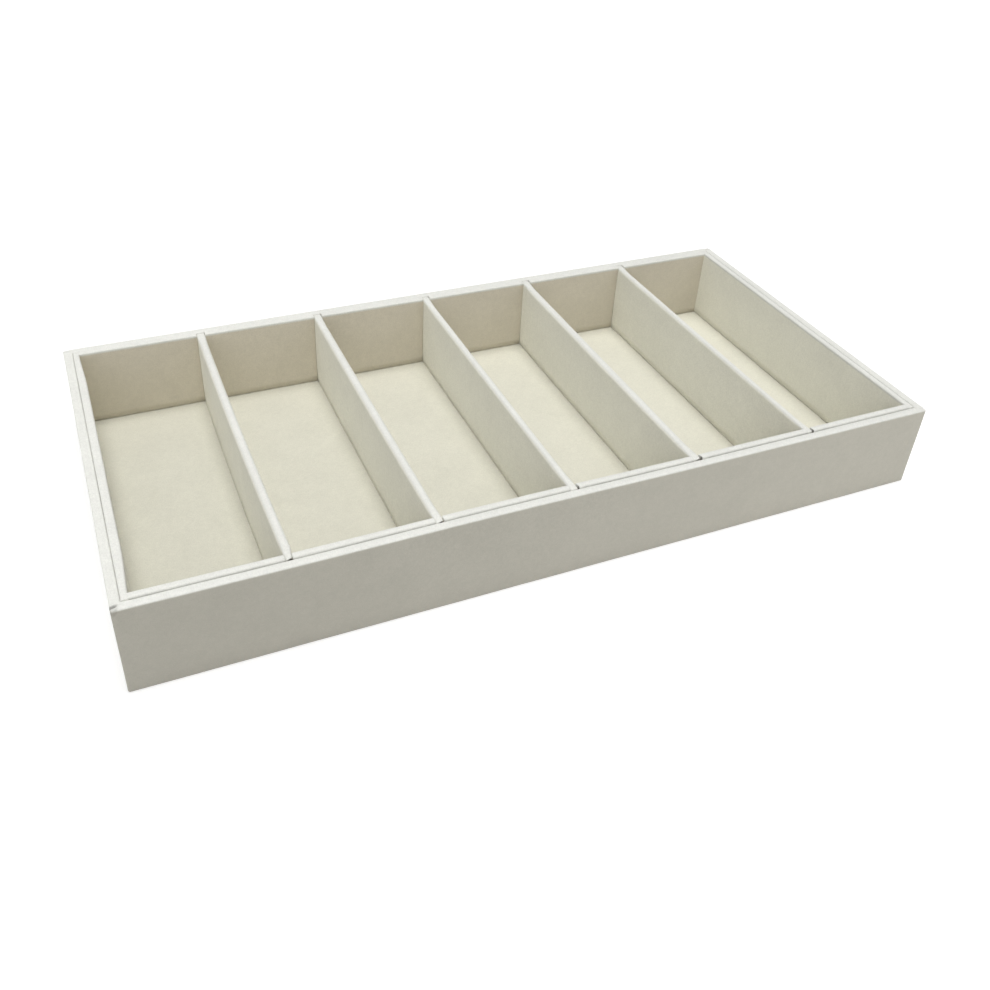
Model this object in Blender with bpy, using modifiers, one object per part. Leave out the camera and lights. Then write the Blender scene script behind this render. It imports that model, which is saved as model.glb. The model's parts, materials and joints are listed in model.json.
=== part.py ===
"""Eyewear display tray: a cloth-covered case with six long compartments.

Four thin wall boards and a base board make a shallow open case. One piece of suede cloth
covers it: up the outside, over the rim, a little way down the inside, and under the base.
Covered liner boards stand against the inside of the walls. The front and back liners come in
short lengths, and the slots between the lengths hold five covered dividers, which lift out.

Units are metres and +Z is up. +X runs along the tray, -Y is its front, and the origin is the
middle of the underside, where the tray rests.
"""

import bpy
import bmesh
from mathutils import Matrix, Vector

# Case, measured over its cloth
CASE_LENGTH = 0.400
CASE_DEPTH = 0.200
RIM_HEIGHT = 0.046
RIM_WIDTH = 0.0044
CASE_EDGE_RADIUS = 0.0012

# Cloth and the clearance that every glued or resting face keeps
CLOTH_THICKNESS = 0.0005
SEAT_GAP = 0.0003

# How far the case's cloth goes past the rim and under the base
TURN_IN_DEPTH = 0.020
HEM_WIDTH = 0.014

# Base and the sheets on each side of it
LINING_THICKNESS = 0.0005
BASE_BOARD_THICKNESS = 0.0021

# Liners, measured over their cloth
LINER_THICKNESS = 0.0033
LINER_RISE = 0.0004
LINER_EDGE_RADIUS = 0.0009
LINER_GAP = 0.0003

# Dividers, measured over their cloth
DIVIDER_COUNT = 5
DIVIDER_PITCH = 0.0651
DIVIDER_THICKNESS = 0.0044
DIVIDER_DROP = 0.0002
DIVIDER_EDGE_RADIUS = 0.0019
DIVIDER_END_CLEARANCE = 0.0008
SLOT_CLEARANCE = 0.0005

# Cut boards have their edges broken by this much
BOARD_CHAMFER = 0.00025

# A rounded edge takes no more than this share of the board it is on
EDGE_LIMIT_SHARE = 0.45
CURVE_SEGMENTS = 3

# A face looks a given way when at least this share of its normal does
FACING_SHARE = 0.9

# A divider's arrow marks its lift, and is this long in the viewport
LIFT_MARK_LENGTH = 0.030

# Levels, counted up from the table
BASE_LOW = max(CLOTH_THICKNESS, LINING_THICKNESS) + SEAT_GAP
BASE_TOP = BASE_LOW + BASE_BOARD_THICKNESS
FLOOR_LOW = BASE_TOP + SEAT_GAP
FLOOR_TOP = FLOOR_LOW + CLOTH_THICKNESS
FOOT_LEVEL = FLOOR_TOP + SEAT_GAP
WALL_TOP = RIM_HEIGHT - CLOTH_THICKNESS - SEAT_GAP
LINER_TOP = RIM_HEIGHT + LINER_RISE
DIVIDER_TOP = RIM_HEIGHT - DIVIDER_DROP

# Distances in from the case's outer faces
SKIN = CLOTH_THICKNESS + SEAT_GAP
WALL_INNER = RIM_WIDTH - SKIN
FLOOR_INSET = WALL_INNER + SEAT_GAP
LINER_OUTER = RIM_WIDTH + LINER_GAP
LINER_INNER = LINER_OUTER + LINER_THICKNESS

# Half sizes of the case
HALF_LENGTH = CASE_LENGTH / 2
HALF_DEPTH = CASE_DEPTH / 2

# Each finish is a linear red, green and blue, and a roughness
CLOTH_ROUGHNESS = 0.95
BOARD_ROUGHNESS = 0.85
FINISHES = {
    "suede_case": ((0.79, 0.77, 0.69), CLOTH_ROUGHNESS),
    "suede_liner": ((0.78, 0.76, 0.67), CLOTH_ROUGHNESS),
    "suede_divider": ((0.79, 0.77, 0.69), CLOTH_ROUGHNESS),
    "suede_floor": ((0.77, 0.74, 0.64), CLOTH_ROUGHNESS),
    "fibreboard": ((0.38, 0.27, 0.17), BOARD_ROUGHNESS),
    "greyboard": ((0.33, 0.32, 0.29), BOARD_ROUGHNESS),
    "lining_felt": ((0.66, 0.64, 0.57), CLOTH_ROUGHNESS),
}


def clear_scene():
    """Remove every object, and the meshes and materials that nothing uses then."""
    for thing in list(bpy.data.objects):
        bpy.data.objects.remove(thing)
    for blocks in (bpy.data.meshes, bpy.data.materials, bpy.data.collections):
        for block in list(blocks):
            if block.users == 0:
                blocks.remove(block)


def make_collection(name):
    """Add a collection to the scene."""
    collection = bpy.data.collections.new(name)
    bpy.context.scene.collection.children.link(collection)
    return collection


def make_material(name):
    """Make the matt material of one finish."""
    colour, roughness = FINISHES[name]
    surface = bpy.data.materials.new(name)
    surface.use_nodes = True
    shader = surface.node_tree.nodes["Principled BSDF"]
    shader.inputs["Base Color"].default_value = (*colour, 1)
    shader.inputs["Roughness"].default_value = roughness
    shader.inputs["Metallic"].default_value = 0
    surface.diffuse_color = (*colour, 1)
    return surface


def mesh_from(name, shape):
    """Turn a bmesh into a mesh, and free it."""
    mesh = bpy.data.meshes.new(name)
    shape.to_mesh(mesh)
    shape.free()
    return mesh


def block(low, high):
    """Make a box as a bmesh around its own middle, and give that middle too."""
    low = Vector(low)
    high = Vector(high)
    shape = bmesh.new()
    bmesh.ops.create_cube(shape, size=1)
    bmesh.ops.transform(shape, matrix=Matrix.Diagonal(high - low).to_4x4(), verts=shape.verts)
    return shape, (low + high) / 2


def place(name, shape, middle, surface, collection, carrier=None):
    """Make an object of a bmesh, and stand its own middle where it belongs."""
    thing = bpy.data.objects.new(name, mesh_from(name, shape))
    thing.data.materials.append(surface)
    collection.objects.link(thing)
    thing.location = middle
    if carrier is not None:
        thing.parent = carrier
        thing.location = middle - carrier.location
    return thing


def round_edges(thing, radius, segments):
    """Round every sharp edge of an object."""
    bevel = thing.modifiers.new("rounded_edges", "BEVEL")
    bevel.width = radius
    bevel.segments = segments
    bevel.limit_method = "ANGLE"


def make_cloth(thing):
    """Give an open surface the thickness of cloth, inwards from its outer face."""
    thing.data.shade_smooth()
    cloth = thing.modifiers.new("cloth_thickness", "SOLIDIFY")
    cloth.thickness = CLOTH_THICKNESS
    cloth.offset = -1
    cloth.use_even_offset = True
    cloth.use_rim = True


def faces_towards(shape, direction):
    """List the faces of a bmesh that look the given way."""
    shape.normal_update()
    return [face for face in shape.faces if face.normal.dot(Vector(direction)) > FACING_SHARE]


def edge_limit(low, high):
    """Give the largest radius that a block's edges can take."""
    return min(Vector(high) - Vector(low)) * EDGE_LIMIT_SHARE


def add_board(name, low, high, surface, collection, carrier=None, radius=0):
    """Add a cut board, with its edges rounded, or only broken where no radius is given."""
    shape, middle = block(low, high)
    board = place(name, shape, middle, surface, collection, carrier)
    segments = CURVE_SEGMENTS if radius > BOARD_CHAMFER else 1
    round_edges(board, min(max(radius, BOARD_CHAMFER), edge_limit(low, high)), segments)


def add_sheet(name, low, high, surface, collection):
    """Add a flat sheet of cloth or lining."""
    shape, middle = block(low, high)
    place(name, shape, middle, surface, collection)


def add_sleeve(name, low, high, radius, surface, collection, carrier=None):
    """Add the cloth over an upright board: a rounded sleeve, closed at its ends and open below."""
    shape, middle = block(low, high)
    bmesh.ops.delete(shape, geom=faces_towards(shape, (0, 0, -1)), context="FACES")
    sleeve = place(name, shape, middle, surface, collection, carrier)
    round_edges(sleeve, radius, CURVE_SEGMENTS)
    make_cloth(sleeve)


def add_covered_board(name, low, high, radius, surfaces, collection, carrier=None):
    """Add an upright board and the sleeve over it, where low and high are the sleeve's corners.

    The radius is the sleeve's, and the board's own edges follow it inside the cloth.
    """
    low = Vector(low)
    high = Vector(high)
    radius = min(radius, edge_limit(low, high))
    board_low = low + Vector((SKIN, SKIN, 0))
    board_high = high - Vector((SKIN, SKIN, SKIN))
    cloth, board = surfaces
    add_board(name + "_board", board_low, board_high, board, collection, carrier, radius - SKIN)
    add_sleeve(name + "_cover", low, high, radius, cloth, collection, carrier)


def add_underside_lining(surface, collection):
    """Add the lining sheet, which fills the frame of the turned-under cloth."""
    inset = HEM_WIDTH + SEAT_GAP
    low = (inset - HALF_LENGTH, inset - HALF_DEPTH, 0)
    high = (HALF_LENGTH - inset, HALF_DEPTH - inset, LINING_THICKNESS)
    add_sheet("underside_lining", low, high, surface, collection)


def add_base_board(surface, collection):
    """Add the base board, which fits between the four walls."""
    low = (FLOOR_INSET - HALF_LENGTH, FLOOR_INSET - HALF_DEPTH, BASE_LOW)
    high = (HALF_LENGTH - FLOOR_INSET, HALF_DEPTH - FLOOR_INSET, BASE_TOP)
    add_board("base_board", low, high, surface, collection)


def add_walls(surface, collection):
    """Add the long walls, and the short walls that butt between them."""
    outer_x = HALF_LENGTH - SKIN
    outer_y = HALF_DEPTH - SKIN
    inner_x = HALF_LENGTH - WALL_INNER
    inner_y = HALF_DEPTH - WALL_INNER
    short_y = inner_y - SEAT_GAP
    front = ((-outer_x, -outer_y, BASE_LOW), (outer_x, -inner_y, WALL_TOP))
    back = ((-outer_x, inner_y, BASE_LOW), (outer_x, outer_y, WALL_TOP))
    left = ((-outer_x, -short_y, BASE_LOW), (-inner_x, short_y, WALL_TOP))
    right = ((inner_x, -short_y, BASE_LOW), (outer_x, short_y, WALL_TOP))
    walls = {"front_wall": front, "back_wall": back, "left_wall": left, "right_wall": right}
    for name, (low, high) in walls.items():
        add_board(name, low, high, surface, collection)


def draw_in(shape, edges, distance, drop):
    """Extrude a level loop of edges towards the middle of the case, and move it down."""
    made = bmesh.ops.extrude_edge_only(shape, edges=edges)["geom"]
    corners = [item for item in made if isinstance(item, bmesh.types.BMVert)]
    for corner in corners:
        corner.co.x -= distance if corner.co.x > 0 else -distance
        corner.co.y -= distance if corner.co.y > 0 else -distance
        corner.co.z -= drop
    return [item for item in made if isinstance(item, bmesh.types.BMEdge)]


def add_case_cover(surface, collection):
    """Add the one piece of cloth that covers the case, from its hem to its turned-in edge."""
    shape, middle = block((-HALF_LENGTH, -HALF_DEPTH, 0), (HALF_LENGTH, HALF_DEPTH, RIM_HEIGHT))
    ends = faces_towards(shape, (0, 0, 1)) + faces_towards(shape, (0, 0, -1))
    bmesh.ops.delete(shape, geom=ends, context="FACES")
    open_edges = [edge for edge in shape.edges if edge.is_boundary]
    rim = [edge for edge in open_edges if edge.verts[0].co.z > 0]
    hem = [edge for edge in open_edges if edge.verts[0].co.z < 0]
    turned_in = draw_in(shape, rim, RIM_WIDTH, 0)
    draw_in(shape, turned_in, 0, TURN_IN_DEPTH)
    draw_in(shape, hem, HEM_WIDTH, 0)
    bmesh.ops.recalc_face_normals(shape, faces=shape.faces)
    cover = place("case_cover", shape, middle, surface, collection)
    round_edges(cover, min(CASE_EDGE_RADIUS, RIM_WIDTH * EDGE_LIMIT_SHARE), CURVE_SEGMENTS)
    make_cloth(cover)


def add_floor_cover(surface, collection):
    """Add the cloth on the base board, which reaches the walls under the liners."""
    low = (FLOOR_INSET - HALF_LENGTH, FLOOR_INSET - HALF_DEPTH, FLOOR_LOW)
    high = (HALF_LENGTH - FLOOR_INSET, HALF_DEPTH - FLOOR_INSET, FLOOR_TOP)
    add_sheet("floor_cover", low, high, surface, collection)


def divider_places():
    """Give the x of each divider, evenly spaced about the middle."""
    return [(number - (DIVIDER_COUNT - 1) / 2) * DIVIDER_PITCH for number in range(DIVIDER_COUNT)]


def liner_lengths():
    """Give the low and high x of each length of front or back liner, between the slots."""
    end = HALF_LENGTH - LINER_INNER - LINER_GAP
    half_slot = DIVIDER_THICKNESS / 2 + SLOT_CLEARANCE
    starts = [-end] + [x + half_slot for x in divider_places()]
    stops = [x - half_slot for x in divider_places()] + [end]
    return list(zip(starts, stops))


def add_end_liners(surfaces, collection):
    """Add the left and right liners, which run the whole depth of the inside."""
    outer_x = HALF_LENGTH - LINER_OUTER
    inner_x = HALF_LENGTH - LINER_INNER
    reach_y = HALF_DEPTH - LINER_OUTER
    spans = {"left_liner": (-outer_x, -inner_x), "right_liner": (inner_x, outer_x)}
    for name, (low_x, high_x) in spans.items():
        low = (low_x, -reach_y, FOOT_LEVEL)
        high = (high_x, reach_y, LINER_TOP)
        add_covered_board(name, low, high, LINER_EDGE_RADIUS, surfaces, collection)


def add_long_liners(surfaces, collection):
    """Add the lengths of front and back liner, which butt between the end liners."""
    outer_y = HALF_DEPTH - LINER_OUTER
    inner_y = HALF_DEPTH - LINER_INNER
    spans = {"front_liner": (-outer_y, -inner_y), "back_liner": (inner_y, outer_y)}
    for side, (low_y, high_y) in spans.items():
        for number, (low_x, high_x) in enumerate(liner_lengths(), start=1):
            low = (low_x, low_y, FOOT_LEVEL)
            high = (high_x, high_y, LINER_TOP)
            name = f"{side}_{number}"
            add_covered_board(name, low, high, LINER_EDGE_RADIUS, surfaces, collection)


def add_dividers(surfaces, collection):
    """Add the dividers, each carried by an empty on the line that it lifts along."""
    half_width = DIVIDER_THICKNESS / 2
    reach_y = HALF_DEPTH - RIM_WIDTH - DIVIDER_END_CLEARANCE
    for number, x in enumerate(divider_places(), start=1):
        lift = bpy.data.objects.new(f"divider_{number}_lift", None)
        lift.empty_display_type = "SINGLE_ARROW"
        lift.empty_display_size = LIFT_MARK_LENGTH
        lift.location = (x, 0, FOOT_LEVEL)
        collection.objects.link(lift)
        low = (x - half_width, -reach_y, FOOT_LEVEL)
        high = (x + half_width, reach_y, DIVIDER_TOP)
        name = f"divider_{number}"
        add_covered_board(name, low, high, DIVIDER_EDGE_RADIUS, surfaces, collection, lift)


def main():
    """Build the tray."""
    clear_scene()
    tray = make_collection("eyewear_display_tray")
    surfaces = {name: make_material(name) for name in FINISHES}
    add_underside_lining(surfaces["lining_felt"], tray)
    add_base_board(surfaces["fibreboard"], tray)
    add_walls(surfaces["fibreboard"], tray)
    add_case_cover(surfaces["suede_case"], tray)
    add_floor_cover(surfaces["suede_floor"], tray)
    liner_surfaces = (surfaces["suede_liner"], surfaces["greyboard"])
    add_end_liners(liner_surfaces, tray)
    add_long_liners(liner_surfaces, tray)
    add_dividers((surfaces["suede_divider"], surfaces["greyboard"]), tray)


main()
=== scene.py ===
"""Looks of the eyewear display tray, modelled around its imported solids.

The case, its liners and its dividers are boards covered with off-white microfibre suede. Here
each cover becomes a fine cloth skin with soft edges, folds and a brushed nap, and the boards
and the lining under the tray get their own finishes. Lengths are metres, unless a name or a
comment says mm.
"""

import json
import math

import bmesh
import bpy
from mathutils import Matrix, Vector, noise


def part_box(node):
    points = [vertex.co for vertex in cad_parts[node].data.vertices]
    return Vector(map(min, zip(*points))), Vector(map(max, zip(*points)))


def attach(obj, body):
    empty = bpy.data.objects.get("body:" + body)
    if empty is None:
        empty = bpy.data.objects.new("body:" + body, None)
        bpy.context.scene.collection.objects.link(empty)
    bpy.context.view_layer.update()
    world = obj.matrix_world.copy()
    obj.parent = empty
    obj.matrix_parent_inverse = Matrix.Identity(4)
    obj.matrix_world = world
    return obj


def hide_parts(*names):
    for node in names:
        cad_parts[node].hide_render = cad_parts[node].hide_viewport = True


bl_info = {
    "name": "Eyewear display tray",
    "version": (1, 0, 0),
    "blender": (4, 5, 0),
    "location": "3D View > Sidebar > Tray",
    "description": "Covers the boards of a display tray with suede, and lights it",
    "category": "Object",
}

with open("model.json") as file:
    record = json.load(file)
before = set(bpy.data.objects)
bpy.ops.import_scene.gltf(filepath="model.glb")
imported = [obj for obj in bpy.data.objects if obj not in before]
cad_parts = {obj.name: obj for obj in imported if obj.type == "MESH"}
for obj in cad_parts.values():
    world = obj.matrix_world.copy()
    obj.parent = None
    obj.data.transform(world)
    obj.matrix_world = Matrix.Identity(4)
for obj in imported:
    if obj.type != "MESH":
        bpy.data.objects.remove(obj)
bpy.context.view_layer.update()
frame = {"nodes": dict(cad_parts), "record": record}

MM = 0.001
TRAY_BODY = "tray"
DIVIDER_NUMBERS = range(1, 6)
LINER_NUMBERS = range(1, 7)
END_LINERS = ("left_liner", "right_liner")
LEFT, RIGHT = 0, 1

# The gap that the solids leave between two pieces, and the distance at which two places are one.
PIECE_GAP = 0.3 * MM
SAME_PLACE = 0.01 * MM

# Points up to this many radii from a face belong to the turn beside it.
NEAR = 1.01

# Segments of a wide turn of the cloth, of a tight one and of those along the rim.
WIDE_TURN, TIGHT_TURN, RIM_TURN = 6, 3, 5

# Where each cloth starts in the noise that its slight waves come from.
CASE_SEED, LINER_SEED, DIVIDER_SEED, FLOOR_SEED = 1, 2, 20, 31

# How far the left and the right face of each divider's cloth stray to the right of true, in mm:
# at the front end, at the back end, and by how much more in the middle.
STRAYS = {
    1: ((0.69, 0.06, -0.95), (0.65, 0, -0.8)),
    2: ((0.4, -0.25, -0.35), (0.05, -0.22, -0.1)),
    3: ((-0.1, -0.1, -0.15), (-0.68, -0.45, -0.05)),
    4: ((-0.5, -0.6, -0.45), (-0.68, -0.69, 0)),
    5: ((0.25, 0.1, -0.1), (-0.68, -0.35, -0.05)),
}

# Where the front slot pinches a divider's cloth, its faces stray this far instead, in mm.
PINCHES = {1: (0.68, -0.68), 2: (0.6, -0.1)}

# How deep the pit is in the top right corner of each divider's front end, how far below the top
# it runs out and is full, and from what depth to what depth of drawing back a drawn-back face
# gets painted shade, from none to full.
CORNER_CUTS = {1: 1.0 * MM, 2: 1.1 * MM, 3: 0.3 * MM, 4: 0.7 * MM, 5: 0.3 * MM}
PIT_FOOT, PIT_TOP = 9 * MM, 4 * MM
PIT_SHADE_START, PIT_SHADE_FULL = 0.1 * MM, 0.6 * MM

# How wide the slit is at the left end of some lengths of front liner, and how far from the rim
# it begins to narrow and ends.
CUT_LINERS = {"front_liner_4": 0.5 * MM, "front_liner_5": 0.5 * MM, "front_liner_6": 0.35 * MM}
SLIT_FULL, SLIT_END = 0.5 * MM, 3 * MM

# How strong the tuck is at each corner of the rim, by the signs of the corner's X and Y, and how
# dark the shade painted along its fold is where it is strongest.
TUCKS = {(-1, -1): 1, (1, -1): 0.2, (-1, 1): 0.4, (1, 1): 0.4}
TUCK_SHADE = 0.68

# The case's cloth and the back liner's lie almost level where they meet.
BACK_GROOVE = 0.1 * MM

# How far below a cloth's top a painted highlight, a paler and more neutral colour, begins and is
# full. The floor's levels lie above it, so the floor gets none of it.
RIM_HIGHLIGHT = (1.3 * MM, 0.2 * MM)
LINER_HIGHLIGHT = (2.0 * MM, 0.8 * MM)
DIVIDER_HIGHLIGHT = (1.2 * MM, 0.2 * MM)
FLOOR_HIGHLIGHT = (-1 * MM, -2 * MM)

# How much lighter or darker the colours are painted at the tray's left and right ends, as shares
# of the cloth's colour, and how far those ends are from its middle: painted light and shade that
# fall unevenly across the tray.
NO_LIGHT_GRADIENT = (1, 1)
CASE_LIGHT_GRADIENT = (0.92, 1.01)
CROSS_LIGHT_GRADIENT = (1.065, 0.94)
DIVIDER_LIGHT_GRADIENT = (1.035, 0.975)
FLOOR_LIGHT_GRADIENT = (0.925, 1.005)
HIGHLIGHT_GRADIENT = (1.045, 0.88)
HALF_LENGTH = 200 * MM

# The share of its colour that the darkest painted shade keeps, in a crease, groove, slit or pit.
DARKEST_PAINTED_SHADE = 0.22

# The studio floor's drop below the tray, the strength of its glow, and the glow's share in what
# the camera sees of it.
FLOOR_DROP = 0.1 * MM
FLOOR_GLOW = 1.13
GLOW_SHARE = 0.5

# How wide the near panels are, and the place above the tray's underside that they face.
PANEL_WIDTH = 0.6
PANEL_TARGET = (0, 0, 0.02)

# The camera's sensor, and the distance from which it sees things.
SENSOR_MM = 36
CLIP_START = 10 * MM


def linear(hex_colour):
    """Turn an sRGB hex colour into linear red, green and blue."""
    channels = [int(hex_colour[i:i + 2], 16) / 255 for i in (1, 3, 5)]
    return [c / 12.92 if c <= 0.04045 else ((c + 0.055) / 1.055) ** 2.4 for c in channels]


class TrayCloth(bpy.types.PropertyGroup):
    """Sizes of the cloth and of the folds it makes over the boards."""

    thickness: bpy.props.FloatProperty(
        name="Cloth thickness", description="Suede and its glue, measured through",
        default=0.5 * MM, min=0.1 * MM, precision=5, unit="LENGTH")
    corner_radius: bpy.props.FloatProperty(
        name="Corner radius", description="How softly the cloth turns round the case's corners",
        default=0.9 * MM, min=0.5 * MM, precision=5, unit="LENGTH")
    rim_radius: bpy.props.FloatProperty(
        name="Rim radius", description="How softly the cloth turns over the rim and under the base",
        default=0.75 * MM, min=0.3 * MM, precision=5, unit="LENGTH")
    turn_in_radius: bpy.props.FloatProperty(
        name="Turn-in radius", description="How softly the cloth turns down inside the rim",
        default=1.0 * MM, min=0.2 * MM, precision=5, unit="LENGTH")
    front_groove: bpy.props.FloatProperty(
        name="Front groove", description="Depth of the soft groove between the rim and front liner",
        default=1.3 * MM, min=0.1 * MM, precision=5, unit="LENGTH")
    left_groove: bpy.props.FloatProperty(
        name="Left groove", description="Depth of the soft groove between the rim and left liner",
        default=0.85 * MM, min=0.1 * MM, precision=5, unit="LENGTH")
    right_groove: bpy.props.FloatProperty(
        name="Right groove", description="Depth of the soft groove between the rim and right liner",
        default=1.9 * MM, min=0.1 * MM, precision=5, unit="LENGTH")
    groove_fill: bpy.props.FloatProperty(
        name="Groove fill", description="How far the nap of a liner fills the groove's bottom",
        default=0.15 * MM, min=0, max=0.5 * MM, precision=5, unit="LENGTH")
    # Painted shade at the bottom of the front groove; the other grooves get a share of it by their depth.
    groove_shade: bpy.props.FloatProperty(
        name="Groove crush", description="How dark the crushed nap is at the front groove's bottom",
        default=0.42, min=0, max=1, subtype="FACTOR")
    left_fill: bpy.props.FloatProperty(
        name="Left groove fill", description="How far the nap fills the left groove's bottom",
        default=0.3 * MM, min=0, max=0.5 * MM, precision=5, unit="LENGTH")
    left_press: bpy.props.FloatProperty(
        name="Left liner press", description="How far the ends of the left liner's inner cloth press in",
        default=0.65 * MM, min=0, max=0.7 * MM, precision=5, unit="LENGTH")
    left_swell: bpy.props.FloatProperty(
        name="Left liner swell", description="How far the left liner's inner cloth swells between its ends",
        default=1.0 * MM, min=0, max=1.5 * MM, precision=5, unit="LENGTH")
    end_press: bpy.props.FloatProperty(
        name="End press", description="How far the ends of the left and right liners reach to the rim",
        default=0.5 * MM, min=0, max=0.6 * MM, precision=5, unit="LENGTH")
    corner_press: bpy.props.FloatProperty(
        name="Corner press", description="How far the front and back liners press into the end liners",
        default=1.6 * MM, min=0, max=1.8 * MM, precision=5, unit="LENGTH")
    front_reach: bpy.props.FloatProperty(
        name="Front reach", description="How far a divider's cloth reaches forward in its slot",
        default=0.3 * MM, min=0, max=0.35 * MM, precision=5, unit="LENGTH")
    back_reach: bpy.props.FloatProperty(
        name="Back reach", description="How far a divider's cloth reaches back towards the rim",
        default=0.7 * MM, min=0, max=0.75 * MM, precision=5, unit="LENGTH")
    end_radius: bpy.props.FloatProperty(
        name="End radius", description="How softly the cloth is folded round a liner's ends",
        default=0.3 * MM, min=0.1 * MM, precision=5, unit="LENGTH")
    divider_end_radius: bpy.props.FloatProperty(
        name="Divider end radius", description="How softly the cloth is folded round a divider's ends",
        default=0.6 * MM, min=0.1 * MM, precision=5, unit="LENGTH")
    liner_radius: bpy.props.FloatProperty(
        name="Liner edge radius", description="How softly the cloth turns over a liner's edges",
        default=0.9 * MM, min=0.2 * MM, precision=5, unit="LENGTH")
    divider_radius: bpy.props.FloatProperty(
        name="Divider edge radius", description="How softly the cloth turns over a divider's edges",
        default=1.95 * MM, min=0.2 * MM, precision=5, unit="LENGTH")
    turn_in: bpy.props.FloatProperty(
        name="Turn-in", description="How far the case's cloth runs down inside the rim",
        default=20 * MM, min=2 * MM, precision=5, unit="LENGTH")
    hem: bpy.props.FloatProperty(
        name="Hem", description="How far the case's cloth runs under the base",
        default=14 * MM, min=2 * MM, precision=5, unit="LENGTH")
    wave_height: bpy.props.FloatProperty(
        name="Wave height", description="How far glued cloth strays from a true face",
        default=0.06 * MM, min=0, precision=5, unit="LENGTH")
    wave_length: bpy.props.FloatProperty(
        name="Wave length", description="Distance from one slight wave in the cloth to the next",
        default=22 * MM, min=2 * MM, precision=5, unit="LENGTH")
    bow: bpy.props.FloatProperty(
        name="Bow", description="How far the front wall bows in to the left of its middle",
        default=0.6 * MM, min=0, max=0.7 * MM, precision=5, unit="LENGTH")
    fold_depth: bpy.props.FloatProperty(
        name="Fold depth", description="Depth of the tuck where the cloth folds over a rim corner",
        default=0.7 * MM, min=0, max=0.75 * MM, precision=5, unit="LENGTH")
    fold_length: bpy.props.FloatProperty(
        name="Fold length", description="How far the tuck runs in from the case's side",
        default=3.8 * MM, min=0.5 * MM, precision=5, unit="LENGTH")
    slot_pad: bpy.props.FloatProperty(
        name="Slot pad", description="How far each liner length's folded end presses on a divider",
        default=0.12 * MM, min=0, max=0.3 * MM, precision=5, unit="LENGTH")
    back_press: bpy.props.FloatProperty(
        name="Back press", description="How far the back liner's inner cloth is pressed in at the left",
        default=0.68 * MM, min=0, max=0.7 * MM, precision=5, unit="LENGTH")
    grip_length: bpy.props.FloatProperty(
        name="Grip length", description="How far from its ends a slot presses a divider squarer",
        default=12 * MM, min=1 * MM, precision=5, unit="LENGTH")
    mesh_step: bpy.props.FloatProperty(
        name="Mesh step", description="Longest distance between rows of points along a face",
        default=4 * MM, min=0.5 * MM, precision=5, unit="LENGTH")


class TrayColours(bpy.types.PropertyGroup):
    """Colours of the cloth and the boards."""

    suede: bpy.props.FloatVectorProperty(
        name="Suede", description="Off-white suede on the end liners and the dividers",
        default=linear("#E9E8DD"), subtype="COLOR", min=0, max=1)
    # Painted shade: the case's cloth is a darker copy of the suede, shaded on its sides; its rim gets the
    # painted highlight.
    case_suede: bpy.props.FloatVectorProperty(
        name="Case suede", description="Suede on the case, brushed downwards, so a little darker",
        default=linear("#B6B3A8"), subtype="COLOR", min=0, max=1)
    # Painted shade: a darker, warmer copy of the suede for the front and back liners, standing in for shade
    # and light bounced inside the compartments.
    cross_shade: bpy.props.FloatVectorProperty(
        name="Cross suede", description="Suede cut across the cloth, on the front and back liners",
        default=linear("#D7D0C0"), subtype="COLOR", min=0, max=1)
    # Painted shade: a slightly darker, warmer copy of the suede for the compartments' floor, standing in
    # for their shade and bounced light.
    floor_suede: bpy.props.FloatVectorProperty(
        name="Floor suede", description="Suede on the floor of the compartments",
        default=linear("#DDDBCD"), subtype="COLOR", min=0, max=1)
    # Painted highlight: this paler, more neutral colour is painted along the top edges of every cloth.
    edge: bpy.props.FloatVectorProperty(
        name="Stretched nap", description="Paler nap where the suede is stretched over a top edge",
        default=linear("#E1E1DB"), subtype="COLOR", min=0, max=1)
    felt: bpy.props.FloatVectorProperty(
        name="Lining felt", description="Thin felt under the tray",
        default=linear("#CFCBBF"), subtype="COLOR", min=0, max=1)
    fibreboard: bpy.props.FloatVectorProperty(
        name="Fibreboard", description="Raw fibreboard of the case",
        default=linear("#A5896A"), subtype="COLOR", min=0, max=1)
    greyboard: bpy.props.FloatVectorProperty(
        name="Greyboard", description="Raw greyboard of the liners and dividers",
        default=linear("#9A978F"), subtype="COLOR", min=0, max=1)
    floor: bpy.props.FloatVectorProperty(
        name="Studio floor", description="Pale floor that the tray stands on",
        default=linear("#FCFCFB"), subtype="COLOR", min=0, max=1)


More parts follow.
